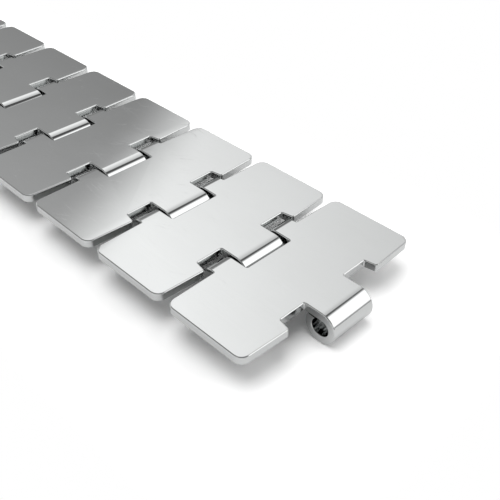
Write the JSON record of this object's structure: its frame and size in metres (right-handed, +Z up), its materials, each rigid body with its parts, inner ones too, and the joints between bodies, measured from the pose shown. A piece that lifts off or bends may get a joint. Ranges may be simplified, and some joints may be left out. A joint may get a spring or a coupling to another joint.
{
  "type": "slat top chain",
  "caption": "Strand of stainless steel slat top chain: flat hinge plates with rolled eyes on pins, folding round a wheel and swivelling sideways to run through bends.",
  "frame": {"origin": "middle of the strand, on the plane that the rolled eyes rest on", "axes": "+X along the strand towards the open centre eye (the near end), +Y across the strand, +Z up out of the carrying face"},
  "size_m": [0.4314, 0.0826, 0.0124],
  "materials": {
    "plate_steel": "polished stainless steel, lightly brushed",
    "pin_steel": "ground stainless steel"
  },
  "bodies": {
    "link_01": {"plate_01": "plate_steel"},
    "link_02": {"plate_02": "plate_steel"},
    "link_03": {"plate_03": "plate_steel"},
    "link_04": {"plate_04": "plate_steel"},
    "link_05": {"plate_05": "plate_steel"},
    "link_06": {"plate_06": "plate_steel"},
    "link_07": {"plate_07": "plate_steel"},
    "link_08": {"plate_08": "plate_steel"},
    "link_09": {"plate_09": "plate_steel"},
    "link_10": {"plate_10": "plate_steel"},
    "link_11": {"plate_11": "plate_steel"},
    "joint_pin_01": {"pin_01": "pin_steel"},
    "joint_pin_02": {"pin_02": "pin_steel"},
    "joint_pin_03": {"pin_03": "pin_steel"},
    "joint_pin_04": {"pin_04": "pin_steel"},
    "joint_pin_05": {"pin_05": "pin_steel"},
    "joint_pin_06": {"pin_06": "pin_steel"},
    "joint_pin_07": {"pin_07": "pin_steel"},
    "joint_pin_08": {"pin_08": "pin_steel"},
    "joint_pin_09": {"pin_09": "pin_steel"},
    "joint_pin_10": {"pin_10": "pin_steel"}
  },
  "joints": [
    {"name": "fold_01", "type": "hinge", "parent": "link_01", "child": "joint_pin_01", "pos_m": [0.17145, 0, 0.00617], "axis": [0, -1, 0], "range_deg": [-12, 30]},
    {"name": "side_flex_01", "type": "hinge", "parent": "joint_pin_01", "child": "link_02", "pos_m": [0.17145, 0, 0.00617], "axis": [0, 0, 1], "range_deg": [-2.4, 2.4]},
    {"name": "fold_02", "type": "hinge", "parent": "link_02", "child": "joint_pin_02", "pos_m": [0.13335, 0, 0.00617], "axis": [0, -1, 0], "range_deg": [-12, 30]},
    {"name": "side_flex_02", "type": "hinge", "parent": "joint_pin_02", "child": "link_03", "pos_m": [0.13335, 0, 0.00617], "axis": [0, 0, 1], "range_deg": [-2.4, 2.4]},
    {"name": "fold_03", "type": "hinge", "parent": "link_03", "child": "joint_pin_03", "pos_m": [0.09525, 0, 0.00617], "axis": [0, -1, 0], "range_deg": [-12, 30]},
    {"name": "side_flex_03", "type": "hinge", "parent": "joint_pin_03", "child": "link_04", "pos_m": [0.09525, 0, 0.00617], "axis": [0, 0, 1], "range_deg": [-2.4, 2.4]},
    {"name": "fold_04", "type": "hinge", "parent": "link_04", "child": "joint_pin_04", "pos_m": [0.05715, 0, 0.00617], "axis": [0, -1, 0], "range_deg": [-12, 30]},
    {"name": "side_flex_04", "type": "hinge", "parent": "joint_pin_04", "child": "link_05", "pos_m": [0.05715, 0, 0.00617], "axis": [0, 0, 1], "range_deg": [-2.4, 2.4]},
    {"name": "fold_05", "type": "hinge", "parent": "link_05", "child": "joint_pin_05", "pos_m": [0.01905, 0, 0.00617], "axis": [0, -1, 0], "range_deg": [-12, 30]},
    {"name": "side_flex_05", "type": "hinge", "parent": "joint_pin_05", "child": "link_06", "pos_m": [0.01905, 0, 0.00617], "axis": [0, 0, 1], "range_deg": [-2.4, 2.4]},
    {"name": "fold_06", "type": "hinge", "parent": "link_06", "child": "joint_pin_06", "pos_m": [-0.01905, 0, 0.00617], "axis": [0, -1, 0], "range_deg": [-12, 30]},
    {"name": "side_flex_06", "type": "hinge", "parent": "joint_pin_06", "child": "link_07", "pos_m": [-0.01905, 0, 0.00617], "axis": [0, 0, 1], "range_deg": [-2.4, 2.4]},
    {"name": "fold_07", "type": "hinge", "parent": "link_07", "child": "joint_pin_07", "pos_m": [-0.05715, 0, 0.00617], "axis": [0, -1, 0], "range_deg": [-12, 30]},
    {"name": "side_flex_07", "type": "hinge", "parent": "joint_pin_07", "child": "link_08", "pos_m": [-0.05715, 0, 0.00617], "axis": [0, 0, 1], "range_deg": [-2.4, 2.4]},
    {"name": "fold_08", "type": "hinge", "parent": "link_08", "child": "joint_pin_08", "pos_m": [-0.09525, 0, 0.00617], "axis": [0, -1, 0], "range_deg": [-12, 30]},
    {"name": "side_flex_08", "type": "hinge", "parent": "joint_pin_08", "child": "link_09", "pos_m": [-0.09525, 0, 0.00617], "axis": [0, 0, 1], "range_deg": [-2.4, 2.4]},
    {"name": "fold_09", "type": "hinge", "parent": "link_09", "child": "joint_pin_09", "pos_m": [-0.13335, 0, 0.00617], "axis": [0, -1, 0], "range_deg": [-12, 30]},
    {"name": "side_flex_09", "type": "hinge", "parent": "joint_pin_09", "child": "link_10", "pos_m": [-0.13335, 0, 0.00617], "axis": [0, 0, 1], "range_deg": [-2.4, 2.4]},
    {"name": "fold_10", "type": "hinge", "parent": "link_10", "child": "joint_pin_10", "pos_m": [-0.17145, 0, 0.00617], "axis": [0, -1, 0], "range_deg": [-12, 30]},
    {"name": "side_flex_10", "type": "hinge", "parent": "joint_pin_10", "child": "link_11", "pos_m": [-0.17145, 0, 0.00617], "axis": [0, 0, 1], "range_deg": [-2.4, 2.4]}
  ]
}
